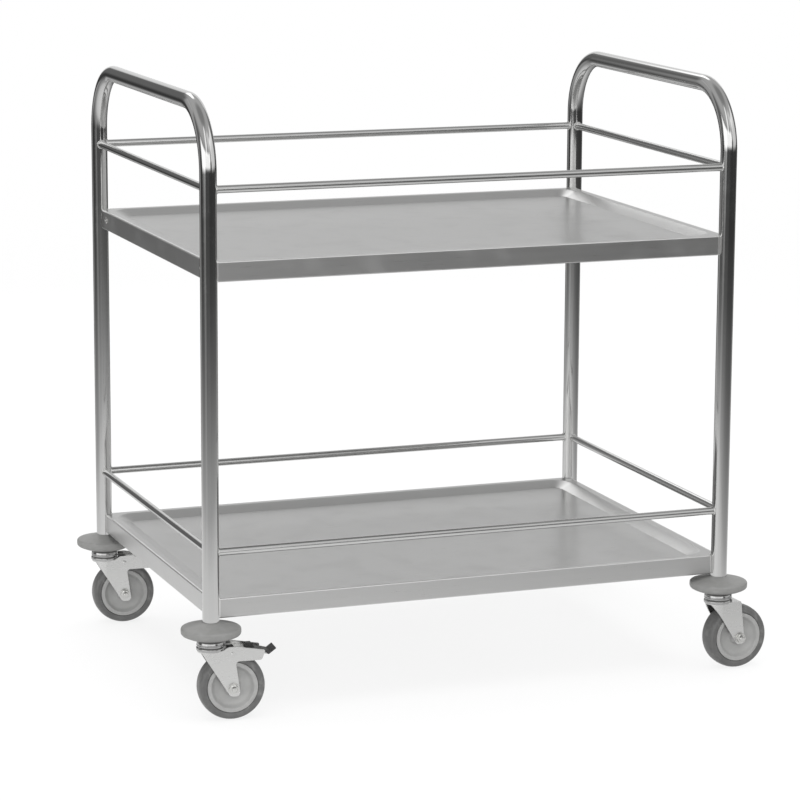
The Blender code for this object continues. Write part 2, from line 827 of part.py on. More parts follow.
def build_castor(shop, root, corner, meshes):
    side_x, side_y, turn, braked = CASTORS[corner]
    post = Vector((side_x * HALF_X, side_y * HALF_Y, 0))
    for name, material in FIXED_PIECES.items():
        shop.part(f"{name}_{corner}", meshes[name], material, root, post)
    swivel = shop.empty("castor_" + corner, root, post, turn)
    fork = "braked_fork" if braked else "plain_fork"
    shop.part("fork_" + corner, meshes[fork], "fork_steel", swivel)
    axle = Vector((TRAIL, 0, AXLE_Z))
    for name, material in AXLE_PIECES.items():
        shop.part(f"{name}_{corner}", meshes[name], material, swivel, axle)
    if braked:
        for name, material in BRAKE_PIECES.items():
            shop.part(f"{name}_{corner}", meshes[name], material, swivel, BRAKE_PIVOT)


def build_castors(shop, root):
    meshes = {
        "bumper": bumper_mesh(),
        "expander": expander_mesh(),
        "stem": stem_mesh(),
        "swivel_cap": swivel_cap_mesh(),
        "plain_fork": fork_mesh(braked=False),
        "braked_fork": fork_mesh(braked=True),
        "axle_bolt": axle_bolt_mesh(),
        "axle_nut": axle_nut_mesh(),
        "axle_sleeve": axle_sleeve_mesh(),
        "wheel_hub": wheel_hub_mesh(),
        "tyre": tyre_mesh(),
        "brake_lever": brake_lever_mesh(),
        "brake_pad": brake_pad_mesh(),
    }
    for corner in CASTORS:
        build_castor(shop, root, corner, meshes)


def centre_on_origin(shop, root):
    """Moves the whole trolley so that the middle of its bounding box is over the origin."""
    bpy.context.view_layer.update()
    graph = bpy.context.evaluated_depsgraph_get()
    places = []
    for obj in shop.parts.objects:
        if obj.type != "MESH":
            continue
        evaluated = obj.evaluated_get(graph)
        places += [evaluated.matrix_world @ vertex.co for vertex in evaluated.data.vertices]
    for axis in (0, 1):
        values = [place[axis] for place in places]
        root.location[axis] = -(min(values) + max(values)) / 2
    bpy.context.view_layer.update()


def main():
    clear_scene()
    shop = Workshop()
    root = shop.empty("trolley")
    build_end_frames(shop, root)
    build_rails(shop, root)
    build_shelves(shop, root)
    build_skirt_screws(shop, root)
    build_castors(shop, root)
    centre_on_origin(shop, root)


main()
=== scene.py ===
"""Looks for a two-shelf stainless steel service trolley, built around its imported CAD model.

Metres, +Z up. Places and sizes come from the CAD nodes, and every piece rides on its node's body.
"""

import json
import math

import bmesh
import bpy
from mathutils import Matrix, Vector


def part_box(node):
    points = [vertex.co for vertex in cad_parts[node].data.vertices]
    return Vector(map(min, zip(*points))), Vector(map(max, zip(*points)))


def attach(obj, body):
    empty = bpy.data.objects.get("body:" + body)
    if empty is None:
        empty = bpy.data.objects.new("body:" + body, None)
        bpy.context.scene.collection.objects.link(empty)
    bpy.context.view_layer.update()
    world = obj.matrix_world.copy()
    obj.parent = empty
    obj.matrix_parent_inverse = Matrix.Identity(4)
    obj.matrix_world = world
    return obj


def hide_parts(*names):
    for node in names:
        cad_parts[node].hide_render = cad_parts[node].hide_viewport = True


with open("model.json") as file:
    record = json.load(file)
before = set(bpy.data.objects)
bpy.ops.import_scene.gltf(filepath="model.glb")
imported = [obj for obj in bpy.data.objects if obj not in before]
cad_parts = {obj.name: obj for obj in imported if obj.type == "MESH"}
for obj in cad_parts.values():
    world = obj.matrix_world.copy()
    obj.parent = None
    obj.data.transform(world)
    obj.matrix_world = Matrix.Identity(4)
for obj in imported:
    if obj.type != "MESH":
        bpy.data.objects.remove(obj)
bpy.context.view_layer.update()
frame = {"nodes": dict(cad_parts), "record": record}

MM = 0.001
FRAME_GAP = 0.3 * MM
MERGE = 0.005 * MM  # points nearer than this are one point

# Frame
HANDLE_BEND = 95 * MM
TUBE_WALL = 1.5 * MM
WELD_THROAT = 0.85 * MM
WELD_RIPPLE = 0.22 * MM

# Shelf section
SHEET = 1.2 * MM
SKIRT_LIP = 10 * MM
RIM_WIDTH = 13 * MM
PANEL_SLOPE = 21 * MM
PANEL_DROP = 9 * MM
PANEL_CORNER = 34 * MM

# Castor pieces, as in the CAD model
TRAIL = 29 * MM
AXLE_Z = 50 * MM
FORK_INNER = 18 * MM
FORK_OUTER = 20.5 * MM
CROWN_TOP = 108 * MM
CROWN_LOW = 105 * MM
BOLT_RADIUS = 4 * MM
HEX_RADIUS = 7.5 * MM
HEX_HEIGHT = 6 * MM
BOLT_STICK_OUT = 3.5 * MM
PIVOT = Vector((28.5 * MM, 0, 102 * MM))
PIVOT_HOLE = 3.2 * MM
STEM_HOLE = 6.3 * MM
THREAD_PITCH = 1.25 * MM
THREAD_DEPTH = 0.35 * MM
THREAD_POINT = 0.9 * MM

# Stage
FLOOR_RADIUS = 6
FLOOR_CENTRE = (-0.33, -0.1, 0)
LIT_POINT = Vector((0, 0, 0.3))
CAMERA_YAW, CAMERA_PITCH, CAMERA_ROLL = (math.radians(angle) for angle in (20.559, 11.293, 0.280))
CAMERA_DISTANCE = 5.056729
CAMERA_ASIDE = -0.00772
CAMERA_HEIGHT = 1.405581
CAMERA_LENS = 147.95

CORNERS = ("front_left", "back_left", "front_right", "back_right")
BODY_OF = {
    node: body for body, nodes in frame["record"]["behaviour"]["bodies"].items() for node in nodes
}


# Node graphs


class Graph:
    """Short ways to add nodes to one node tree."""

    def __init__(self, tree):
        self.tree = tree

    def node(self, kind, inputs=None, **settings):
        made = self.tree.nodes.new("ShaderNode" + kind)
        for key, value in settings.items():
            setattr(made, key, value)
        for key, value in (inputs or {}).items():
            self.feed(made.inputs[key], value)
        return made

    def feed(self, socket, value):
        if isinstance(value, bpy.types.NodeSocket):
            self.tree.links.new(value, socket)
        else:
            socket.default_value = value

    def math(self, operation, *values):
        made = self.node("Math", dict(enumerate(values)), operation=operation)
        return made.outputs[0]

    def vector(self, source, stretch):
        coordinates = self.node("TexCoord").outputs[source]
        return self.node("Mapping", {"Vector": coordinates, "Scale": stretch}).outputs[0]

    def noise(self, source, stretch, detail=2.0, roughness=0.5, distortion=0.0):
        made = self.node(
            "TexNoise",
            {
                "Vector": self.vector(source, stretch),
                "Scale": 1.0,
                "Detail": detail,
                "Roughness": roughness,
                "Distortion": distortion,
            },
        )
        return made.outputs[0]

    def spread(self, value, low, high, to_low, to_high, smooth=False):
        """The value from low to high becomes to_low to to_high, and is held there outside."""
        made = self.node(
            "MapRange",
            {0: value, 1: low, 2: high, 3: to_low, 4: to_high},
            interpolation_type="SMOOTHSTEP" if smooth else "LINEAR",
        )
        return made.outputs[0]

    def mix(self, share, first, second):
        made = self.node("Mix", data_type="RGBA")
        self.feed(made.inputs[0], share)
        self.feed(made.inputs[6], (*first, 1) if isinstance(first, tuple) else first)
        self.feed(made.inputs[7], (*second, 1) if isinstance(second, tuple) else second)
        return made.outputs[2]

    def bump(self, height, strength, distance):
        made = self.node("Bump", {"Height": height, "Strength": strength, "Distance": distance})
        return made.outputs[0]


def start_material(name):
    material = bpy.data.materials.new(name)
    material.use_nodes = True
    return Graph(material.node_tree), material


def finish_material(graph, material, colour, roughness, normal, metallic=0.0):
    shader = graph.tree.nodes["Principled BSDF"]
    graph.feed(shader.inputs["Base Color"], colour)
    graph.feed(shader.inputs["Roughness"], roughness)
    graph.feed(shader.inputs["Normal"], normal)
    shader.inputs["Metallic"].default_value = metallic
    return material


def steel(name, dark, light, rough, grain, smudge, bump, source="UV"):
    """Bare metal: fine grain along the first coordinate, with soft handling marks over it."""
    graph, material = start_material(name)
    fine = graph.noise(source, (grain[0], grain[1], grain[1]), 3.0, 0.6)
    broad = graph.noise(source, (grain[0] * 0.4, grain[1] * 0.12, grain[1] * 0.12), 2.0, 0.5)
    marks = graph.noise("Object", (smudge, smudge, smudge), 4.0, 0.62, 0.4)
    streak = graph.math("ADD", graph.math("MULTIPLY", fine, 0.6), graph.math("MULTIPLY", broad, 0.4))
    colour = graph.mix(graph.spread(streak, 0.3, 0.7, 0.0, 1.0), dark, light)
    worn = graph.spread(marks, 0.45, 0.75, 0.0, rough[2], smooth=True)
    roughness = graph.math("ADD", graph.spread(streak, 0.3, 0.7, rough[0], rough[1]), worn)
    normal = graph.bump(streak, bump[0], bump[1])
    return finish_material(graph, material, colour, roughness, normal, metallic=1.0)


def brushed(material):
    """Sheet brushed along U: blurred across the grain, with a painted highlight along its top edges and
    beside the welds.
    """
    graph = Graph(material.node_tree)
    shader = graph.tree.nodes["Principled BSDF"]
    shader.inputs["Anisotropic"].default_value = 0.7
    shader.inputs["Anisotropic Rotation"].default_value = 0.25
    graph.feed(shader.inputs["Tangent"], graph.node("Tangent", direction_type="UV_MAP").outputs[0])
    sides = graph.node("SeparateXYZ", {0: graph.node("TexCoord").outputs["Object"]})
    from_edge = [
        graph.math("SUBTRACT", edge, graph.math("ABSOLUTE", sides.outputs[axis]))
        for axis, edge in (("X", HALF_X), ("Y", HALF_Y))
    ]
    nearest = graph.math("MINIMUM", *from_edge)
    near_edge = graph.spread(nearest, 1.5 * MM, 4.5 * MM, 1.0, 0.0, smooth=True)
    near_top = graph.spread(sides.outputs["Z"], -3 * MM, -1 * MM, 0.0, 1.0, smooth=True)
    # Painted highlight: the colour turns near white along the top edges, where the bends catch the
    # light.
    painted_edge_highlight = graph.math("MULTIPLY", near_edge, near_top)
    squares = [graph.math("MULTIPLY", gap, gap) for gap in from_edge]
    from_post = graph.math("SQRT", graph.math("ADD", *squares))
    weld_foot = POST_RADIUS + 0.9 * MM
    # Painted highlight: the colour turns near white in a narrow band round each post's weld.
    painted_weld_highlight = graph.spread(from_post, weld_foot, weld_foot + 2 * MM, 1.0, 0.0, smooth=True)
    bright = graph.math("MAXIMUM", painted_edge_highlight, painted_weld_highlight)
    base = shader.inputs["Base Color"].links[0].from_socket
    # The painted highlight is mixed into the base colour.
    graph.feed(shader.inputs["Base Color"], graph.mix(bright, base, (0.92, 0.92, 0.91)))
    return material


def moulded(name, dark, light, rough, cell, bump, dust=None):
    """Rubber or plastic: a fine moulded grain, soft cloudiness, and dust where it is given."""
    graph, material = start_material(name)
    grain = graph.noise("Object", (cell, cell, cell), 3.0, 0.55)
    cloud = graph.noise("Object", (cell * 0.04,) * 3, 3.0, 0.6, 0.3)
    colour = graph.mix(graph.spread(cloud, 0.35, 0.65, 0.0, 1.0), dark, light)
    if dust:
        settled = graph.spread(cloud, 0.5, 0.75, 0.0, 0.5, smooth=True)
        colour = graph.mix(settled, colour, dust)
    roughness = graph.spread(graph.math("ADD", grain, cloud), 0.7, 1.3, rough[0], rough[1])
    return finish_material(graph, material, colour, roughness, graph.bump(grain, bump[0], bump[1]))


def make_finishes():
    return {
        "tube_steel": steel(
            "tube_steel", (0.57, 0.57, 0.565), (0.62, 0.62, 0.615), (0.05, 0.09, 0.05),
            (12, 1400), 26, (0.05, 0.00002),
        ),
        "rail_steel": steel(
            "rail_steel", (0.57, 0.57, 0.565), (0.62, 0.62, 0.615), (0.08, 0.14, 0.06),
            (14, 1500), 30, (0.06, 0.00002),
        ),
        "shelf_steel": brushed(
            steel(
                "shelf_steel", (0.55, 0.55, 0.545), (0.58, 0.58, 0.575), (0.27, 0.30, 0.045),
                (22, 1300), 20, (0.08, 0.00002),
            )
        ),
        "fork_steel": steel(
            "fork_steel", (0.60, 0.60, 0.595), (0.63, 0.63, 0.62), (0.26, 0.29, 0.03),
            (60, 700), 40, (0.04, 0.00002), source="Object",
        ),
        "race_steel": steel(
            "race_steel", (0.38, 0.38, 0.38), (0.46, 0.46, 0.455), (0.10, 0.16, 0.05),
            (40, 1600), 80, (0.08, 0.00002),
        ),
        "fastener_steel": steel(
            "fastener_steel", (0.54, 0.54, 0.53), (0.62, 0.62, 0.60), (0.10, 0.16, 0.05),
            (180, 900), 120, (0.08, 0.00002), source="Object",
        ),
        "weld_steel": steel(
            "weld_steel", (0.60, 0.60, 0.59), (0.74, 0.74, 0.73), (0.16, 0.26, 0.06),
            (300, 500), 200, (0.2, 0.00004), source="Object",
        ),
        "bumper_rubber": moulded(
            "bumper_rubber", (0.19, 0.19, 0.185), (0.22, 0.22, 0.215),
            (0.42, 0.55), 1400, (0.25, 0.00005),
        ),
        "tyre_rubber": moulded(
            "tyre_rubber", (0.08, 0.08, 0.079), (0.105, 0.105, 0.103),
            (0.34, 0.48), 1500, (0.2, 0.00005),
            dust=(0.2, 0.2, 0.195),
        ),
        "hub_plastic": moulded(
            "hub_plastic", (0.27, 0.27, 0.265), (0.305, 0.305, 0.30),
            (0.30, 0.42), 1600, (0.15, 0.00004),
        ),
        "expander_plastic": moulded(
            "expander_plastic", (0.03, 0.03, 0.03), (0.05, 0.05, 0.05),
            (0.45, 0.6), 1600, (0.2, 0.00004),
        ),
        "pedal_plastic": moulded(
            "pedal_plastic", (0.014, 0.014, 0.014), (0.026, 0.026, 0.026),
            (0.34, 0.5), 1500, (0.3, 0.00006),
        ),
    }


# Shape helpers


def arc_points(centre, radius, start, sweep, steps):
    """Points on an arc in a plane, both ends included."""
    points = []
    for step in range(steps + 1):
        angle = start + sweep * step / steps
        points.append(centre + radius * Vector((math.cos(angle), math.sin(angle))))
    return points


def rounded(corners, closed=True, steps=6):
    """A line through (x, y, radius) corners, with each corner rounded by its radius."""
    line = []
    for index, (x, y, radius) in enumerate(corners):
        corner = Vector((x, y))
        if radius == 0 or (not closed and index in (0, len(corners) - 1)):
            line.append(corner)
            continue
        before = (Vector(corners[index - 1][:2]) - corner).normalized()
        after = (Vector(corners[(index + 1) % len(corners)][:2]) - corner).normalized()
        half = before.angle(after) / 2
        centre = corner + (before + after).normalized() * radius / math.sin(half)
        first = corner + before * radius / math.tan(half) - centre
        last = corner + after * radius / math.tan(half) - centre
        sweep = math.atan2(first.cross(last), first.dot(last))
        line += arc_points(centre, radius, math.atan2(first.y, first.x), sweep, steps)
    return line


def in_mm(corners):
    return [tuple(value * MM for value in corner) for corner in corners]


def shaded(mesh, sharp_degrees=32):
    mesh.shade_smooth()
    mesh.set_sharp_from_angle(angle=math.radians(sharp_degrees))
    return mesh


def mesh_from(bm, name):
    bmesh.ops.remove_doubles(bm, verts=bm.verts, dist=1e-7)
    bmesh.ops.recalc_face_normals(bm, faces=bm.faces)
    mesh = bpy.data.meshes.new(name)
    bm.to_mesh(mesh)
    bm.free()
    return shaded(mesh)


def running_lengths(points, closed):
    """The distance along a line to each of its points, and back to the first if it is closed."""
    line = [Vector(point) for point in points]
    if closed:
        line.append(line[0])
    lengths = [0.0]
    for first, second in zip(line, line[1:]):
        lengths.append(lengths[-1] + (second - first).length)
    return lengths


def skin(bm, rings, along, around, closed):
    """Quads between rings of points. along and around are their UV distances. Open ends get caps."""
    layer = bm.loops.layers.uv.verify()
    grid = [[bm.verts.new(point) for point in ring] for ring in rings]
    count = len(rings[0])
    rows = len(rings) if closed else len(rings) - 1
    for row in range(rows):
        following = (row + 1) % len(rings)
        for column in range(count):
            beside = (column + 1) % count
            face = bm.faces.new(
                (grid[row][column], grid[row][beside], grid[following][beside], grid[following][column])
            )
            places = (
                (along[row], around[column]),
                (along[row], around[column + 1]),
                (along[row + 1], around[column + 1]),
                (along[row + 1], around[column]),
            )
            for loop, place in zip(face.loops, places):
                loop[layer].uv = place
    if not closed:
        for ring in (grid[0], grid[-1]):
            if (ring[0].co - ring[count // 2].co).length > 1e-6:
                bm.faces.new(ring)
    return grid


def lathe(bm, profile, steps=96, closed=True):
    """A solid of revolution about Z through (radius, z) points. An open one ends on the axis."""
    rings = []
    for radius, height in profile:
        ring = []
        for step in range(steps):
            angle = math.tau * step / steps
            ring.append((radius * math.cos(angle), radius * math.sin(angle), height))
        rings.append(ring)
    widest = max(radius for radius, _ in profile)
    around = [math.tau * widest * step / steps for step in range(steps + 1)]
    skin(bm, rings, running_lengths(profile, closed), around, closed)


def lathe_mesh(name, corners, steps=96, closed=True, fillet_steps=5):
    """The same as a mesh, from (radius, z, fillet) corners in millimetres."""
    bm = bmesh.new()
    lathe(bm, rounded(in_mm(corners), closed, fillet_steps), steps, closed)
    return mesh_from(bm, name)


def prism(name, outline, low, high):
    """A plate with one outline, from low to high in Z."""
    bm = bmesh.new()
    ends = [[bm.verts.new((point.x, point.y, height)) for point in outline] for height in (low, high)]
    for index in range(len(outline)):
        bm.faces.new((ends[0][index - 1], ends[0][index], ends[1][index], ends[1][index - 1]))
    bm.faces.new(ends[0])
    bm.faces.new(ends[1])
    return mesh_from(bm, name)


def upright_prism(name, outline, low, high):
    """The same stood up: the outline's x and y become X and Z, and it spans low to high in Y."""
    mesh = prism(name, outline, -high, -low)
    mesh.transform(Matrix.Rotation(math.pi / 2, 4, "X"))
    return mesh


def across(mesh):
    """Turns a mesh made along Z so that it lies along -Y."""
    mesh.transform(Matrix.Rotation(math.pi / 2, 4, "X"))
    return mesh


def loose_object(name, mesh):
    obj = bpy.data.objects.new(name, mesh)
    bpy.context.scene.collection.objects.link(obj)
    return obj


def applied(obj):
    """The object's shape with its modifiers applied, as a mesh of its own. The object goes."""
    graph = bpy.context.evaluated_depsgraph_get()
    mesh = bpy.data.meshes.new_from_object(obj.evaluated_get(graph))
    bpy.data.objects.remove(obj, do_unlink=True)
    return mesh


def combined(base, others, operation):
    """The base mesh joined with, or cut by, every other mesh."""
    obj = loose_object("base", base)
    tools = [loose_object("tool", other) for other in others]
    for tool in tools:
        modifier = obj.modifiers.new("boolean", "BOOLEAN")
        modifier.operation = operation
        modifier.solver = "EXACT"
        modifier.object = tool
    result = applied(obj)
    for tool in tools:
        bpy.data.objects.remove(tool, do_unlink=True)
    return result


def edges_softened(mesh, width):
    """The mesh with its sharp edges rounded over a small width."""
    bm = bmesh.new()
    bm.from_mesh(mesh)
    bmesh.ops.remove_doubles(bm, verts=bm.verts, dist=MERGE)
    bmesh.ops.dissolve_limit(bm, angle_limit=math.radians(2), verts=bm.verts, edges=bm.edges)
    bm.to_mesh(mesh)
    bm.free()
    obj = loose_object("soft", mesh)
    bevel = obj.modifiers.new("bevel", "BEVEL")
    bevel.width = width
    bevel.segments = 2
    bevel.limit_method = "ANGLE"
    bevel.angle_limit = math.radians(35)
    bevel.use_clamp_overlap = True
    bevel.miter_outer = "MITER_ARC"
    return flats_kept_flat(shaded(applied(obj), 40))


def flats_kept_flat(mesh):
    """The mesh with normals that favour its large faces, so bends don't shade across them."""
    obj = loose_object("flats", mesh)
    weighted = obj.modifiers.new("normals", "WEIGHTED_NORMAL")
    weighted.keep_sharp = True
    return applied(obj)


def joined(name, *meshes):
    """One mesh made of several. Their materials are kept in order."""
    bm = bmesh.new()
    materials = []
    for mesh in meshes:
        first = len(bm.faces)
        bm.from_mesh(mesh)
        bm.faces.ensure_lookup_table()
        held = mesh.materials[0] if mesh.materials else None
        if held and held not in materials:
            materials.append(held)
        for face in bm.faces[first:]:
            face.material_index = materials.index(held) if held else 0
    made = bpy.data.meshes.new(name)
    bm.to_mesh(made)
    bm.free()
    for material in materials:
        made.materials.append(material)
    return made


def painted(mesh, slot):
    mesh.materials.clear()
    mesh.materials.append(FINISHES[slot])
    return mesh


def show(node, mesh, slot, place, name=None):
    """Stands a finished mesh in for a CAD node, or beside it under a name of its own, on its body."""
    if not mesh.materials:
        painted(mesh, slot)
    obj = loose_object(name or node + "_finished", mesh)
    obj.matrix_world = place
    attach(obj, BODY_OF[node])
    if name is None:
        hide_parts(node)
    return obj


def middle(node):
    low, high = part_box(node)
    return (low + high) / 2


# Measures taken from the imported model

POSTS = {corner: Vector((*middle("stem_" + corner).xy, 0)) for corner in CORNERS}
FRAME_CENTRE = (POSTS["front_left"] + POSTS["back_right"]) / 2
HALF_X = POSTS["front_right"].x - FRAME_CENTRE.x
HALF_Y = POSTS["back_left"].y - FRAME_CENTRE.y
low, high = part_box("end_frame_left")
POST_RADIUS = (high.x - low.x) / 2

FINISHES = make_finishes()


def castor_place(corner):
    """The castor's own frame: the origin under its post, and +X towards its axle."""
    trail = middle("axle_sleeve_" + corner) - POSTS[corner]
    turn = Matrix.Rotation(math.atan2(trail.y, trail.x), 4, "Z")
    return Matrix.Translation(POSTS[corner]) @ turn


# Frame


def end_frame_path(low, high, radius):
    """The tube's centre line in Y and Z: up one post, over the handle and down the other."""
    rise = high.z - radius - HANDLE_BEND
    reach = HALF_Y - HANDLE_BEND
    steps = 28
    path = [Vector((-HALF_Y, low.z))]
    path += arc_points(Vector((-reach, rise)), HANDLE_BEND, math.pi, -math.pi / 2, steps)
    path += arc_points(Vector((reach, rise)), HANDLE_BEND, math.pi / 2, -math.pi / 2, steps)
    path.append(Vector((HALF_Y, low.z)))
    return path


def tube_rings(path, radius, sides):
    """Circles square to a path in the YZ plane."""
    rings = []
    for index, point in enumerate(path):
        ahead = path[min(index + 1, len(path) - 1)] - path[max(index - 1, 0)]
        out = Vector((-ahead.y, ahead.x)).normalized()
        ring = []
        for side in range(sides):
            angle = math.tau * side / sides
            offset = radius * math.sin(angle) * out
            ring.append((radius * math.cos(angle), point.x + offset.x, point.y + offset.y))
        rings.append(ring)
    return rings


def build_end_frame(side):
    node = "end_frame_" + side
    low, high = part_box(node)
    radius = (high.x - low.x) / 2
    sides = 72
    path = end_frame_path(low, high, radius)
    rings = tube_rings(path, radius, sides) + tube_rings(path, radius - TUBE_WALL, sides)[::-1]
    lengths = running_lengths(path, closed=False)
    along = lengths + lengths[::-1] + [0.0]
    around = [math.tau * radius * step / sides for step in range(sides + 1)]
    bm = bmesh.new()
    skin(bm, rings, along, around, closed=True)
    place = Matrix.Translation(((low.x + high.x) / 2, 0, 0))
    show(node, mesh_from(bm, node), "tube_steel", place)


def rail_and_welds(node, half, radius):
    """A bar along X whose ends fit round the posts, with a rippled weld bead round each end."""
    sides = 48
    bm = bmesh.new()
    rings = []
    for sign in (-1, 1):
        ring = []
        for side in range(sides):
            angle = math.tau * side / sides
            sideways = radius * math.cos(angle)
            reach = half - math.sqrt((POST_RADIUS + FRAME_GAP) ** 2 - sideways**2)
            ring.append((sign * reach, sideways, radius * math.sin(angle)))
        rings.append(ring)
    around = [math.tau * radius * step / sides for step in range(sides + 1)]
    skin(bm, rings, [0, 2 * half], around, closed=False)
    bar = painted(mesh_from(bm, node), "rail_steel")
    beads = [painted(weld_bead(sign, half, radius), "weld_steel") for sign in (-1, 1)]
    return joined(node, bar, *beads)


def weld_bead(sign, half, radius):
    """A ring that follows the saddle where a bar meets a post, with a ripple for each puddle."""
    steps = 120
    puddles = 22
    section = 12
    proud = radius + FRAME_GAP
    saddle = []
    for step in range(steps):
        angle = math.tau * step / steps
        sideways = proud * math.cos(angle)
        reach = half - math.sqrt(POST_RADIUS**2 - sideways**2)
        saddle.append(Vector((sign * (reach - FRAME_GAP), sideways, proud * math.sin(angle))))
    rings = []
    for step, point in enumerate(saddle):
        ahead = (saddle[(step + 1) % steps] - saddle[step - 1]).normalized()
        out = Vector((0, point.y, point.z)).normalized()
        beside = ahead.cross(out).normalized()
        phase = (step / steps * puddles) % 1
        thickness = WELD_THROAT + WELD_RIPPLE * math.sqrt(phase)
        ring = []
        for side in range(section):
            angle = math.tau * side / section
            ring.append(point + thickness * (math.cos(angle) * out + math.sin(angle) * beside))
        rings.append(ring)
    bm = bmesh.new()
    along = running_lengths(saddle, closed=True)
    around = [math.tau * MM * side / section for side in range(section + 1)]
    skin(bm, rings, along, around, closed=True)
    return mesh_from(bm, "weld_bead")


def build_rails():
    for level in ("upper", "lower"):
        for side in ("front", "back", "left", "right"):
            node = f"{level}_rail_{side}"
            low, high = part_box(node)
            along_x = side in ("front", "back")
            half = HALF_X if along_x else HALF_Y
            mesh = rail_and_welds(node, half, (high.z - low.z) / 2)
            turn = Matrix.Identity(4) if along_x else Matrix.Rotation(math.pi / 2, 4, "Z")
            show(node, mesh, "rail_steel", Matrix.Translation((low + high) / 2) @ turn)


# Shelves


def corner_signs():
    """Each corner's quarter turn, and its side in X and Y, anticlockwise from +X +Y."""
    for quarter in range(4):
        yield quarter * math.pi / 2, Vector((1 if quarter in (0, 3) else -1, 1 if quarter < 2 else -1))


def notched_outline(inset, notch, steps):
    """The shelf's outer edge, moved inwards, with a concave notch round each post."""
    radius = notch + inset
    start = math.asin(inset / radius)
    sweep = math.pi / 2 - 2 * start
    outline = []
    for turn, sign in corner_signs():
        post = Vector((sign.x * HALF_X, sign.y * HALF_Y))
        outline += arc_points(post, radius, turn - math.pi / 2 - start, -sweep, steps)
    return outline


def panel_outline(inset, steps):
    """The sunken panel's edge, with convex corners, in step with notched_outline."""
    radius = PANEL_CORNER - (inset - RIM_WIDTH)
    outline = []
    for turn, sign in corner_signs():
        centre = Vector((sign.x * (HALF_X - inset - radius), sign.y * (HALF_Y - inset - radius)))
        outline += arc_points(centre, radius, turn, math.pi / 2, steps)
    return outline


def offset_line(line, distance):
    """The line moved sideways by a distance, to its right."""
    moved = []
    for index, point in enumerate(line):
        ahead = line[min(index + 1, len(line) - 1)] - line[max(index - 1, 0)]
        moved.append(point + distance * Vector((ahead.y, -ahead.x)).normalized())
    return moved


def shelf_section(skirt):
    """The pressing in section as (inset, height): lip, skirt, rim and slope, bends rounded."""
    foot = RIM_WIDTH + PANEL_SLOPE
    return rounded(
        [
            (SKIRT_LIP, -skirt, 0),
            (0, -skirt, 2.0 * MM),
            (0, 0, 2.5 * MM),
            (RIM_WIDTH, 0, 9 * MM),
            (foot, -PANEL_DROP, 2.2 * MM),
            (foot + 4 * MM, -PANEL_DROP, 0),
        ],
        closed=False,
        steps=7,
    )


def unfolded(face, layer):
    """UVs as on the flat blank: x and y on top, and carried on down the skirts."""
    normal = face.normal
    out_x = abs(normal.x) > max(abs(normal.y), abs(normal.z))
    out_y = abs(normal.y) > max(abs(normal.x), abs(normal.z))
    for loop in face.loops:
        x, y, z = loop.vert.co
        if out_x:
            x += z
        elif out_y:
            y += z
        loop[layer].uv = (x, y)


def shelf_mesh(node, skirt, notch):
    """Both skins of the sheet, ring by ring from the lip to the panel, closed by the flat panel."""
    steps = 20
    outer = shelf_section(skirt)
    inner = offset_line(outer, SHEET)
    bm = bmesh.new()
    rings = []
    for inset, height in [*outer, *reversed(inner)]:
        on_panel = inset > RIM_WIDTH / 2 and height > -skirt / 2
        outline = panel_outline(inset, steps) if on_panel else notched_outline(inset, notch, steps)
        rings.append([(point.x, point.y, height) for point in outline])
    grid = [[bm.verts.new(point) for point in ring] for ring in rings]
    last = len(outer) - 1
    for row, ring in enumerate(grid):
        if row == last:
            continue
        beyond = grid[(row + 1) % len(grid)]
        for column in range(len(ring)):
            bm.faces.new((ring[column - 1], ring[column], beyond[column], beyond[column - 1]))
    bm.faces.new(grid[last])
    bm.faces.new(grid[last + 1])
    bmesh.ops.recalc_face_normals(bm, faces=bm.faces)
    layer = bm.loops.layers.uv.verify()
    bm.normal_update()
    for face in bm.faces:
        unfolded(face, layer)
    return flats_kept_flat(mesh_from(bm, node))


def build_shelves():
    for level in ("upper", "lower"):
        node = level + "_shelf"
        low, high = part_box(node)
        mesh = shelf_mesh(node, high.z - low.z, POST_RADIUS + FRAME_GAP)
        show(node, mesh, "shelf_steel", Matrix.Translation((FRAME_CENTRE.x, FRAME_CENTRE.y, high.z)))


def build_skirt_screws():
    corners = [
        (0, 0.1, 0), (2.0, 0.1, 0.1), (2.3, 1.7, 0.3), (3.4, 1.6, 1.0), (5.0, 0.6, 0.6),
        (5.2, -0.2, 0.1), (2, -0.2, 0.2), (2, -9.6, 0.5), (0, -10, 0),
    ]
    for side in ("front", "back"):
        node = "skirt_screw_" + side
        low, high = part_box(node)
        mesh = lathe_mesh(node, corners, 40, closed=False)
        mesh.transform(Matrix.Rotation(-math.pi / 2, 4, "Y"))
        place = Matrix.Translation((FRAME_CENTRE.x - HALF_X - FRAME_GAP, *((low + high) / 2).yz))
        show(node, mesh, "fastener_steel", place)


# Castor pieces that stay with the frame


def bumper_mesh():
    return lathe_mesh(
        "bumper",
        [
            (6.3, 147.7, 0.3), (13.2, 147.7, 1.2), (24, 144.6, 30), (44.4, 139.2, 3.6),
            (44.4, 129.6, 5.2), (35, 125.4, 6), (22, 123.3, 2), (6.3, 123.3, 0.3),
        ],
        120,
        fillet_steps=8,
    )


def swivel_cap_mesh():
    return lathe_mesh(
        "swivel_cap",
        [
            (6.3, 123, 0.3), (18.4, 123, 1.5), (20.9, 118.6, 5), (21.5, 115.4, 0.5), (20.8, 115.1, 0.2),
            (20.8, 114.4, 0.2), (21.5, 114.1, 0.5), (21.3, 112.1, 0.7), (6.3, 112.1, 0.3),
        ],
        96,
    )


def stem_mesh():
    return lathe_mesh(
        "stem",
        [
            (0, 205, 0), (5, 205, 0.3), (6, 204, 0.3), (6, 104.7, 0.2), (9, 104.7, 0.4),
            (8.6, 102.6, 0.8), (5, 101.9, 1.0), (3.2, 102.3, 0.6), (0, 102.2, 0),
        ],
        64,
        closed=False,
    )


# Castor pieces that swivel, in the castor's own frame


def nose_arc(radius, sweep):
    """Half a circle about the post, in front of it."""
    return arc_points(Vector((0, 0)), radius, math.copysign(math.pi / 2, sweep), sweep, 40)


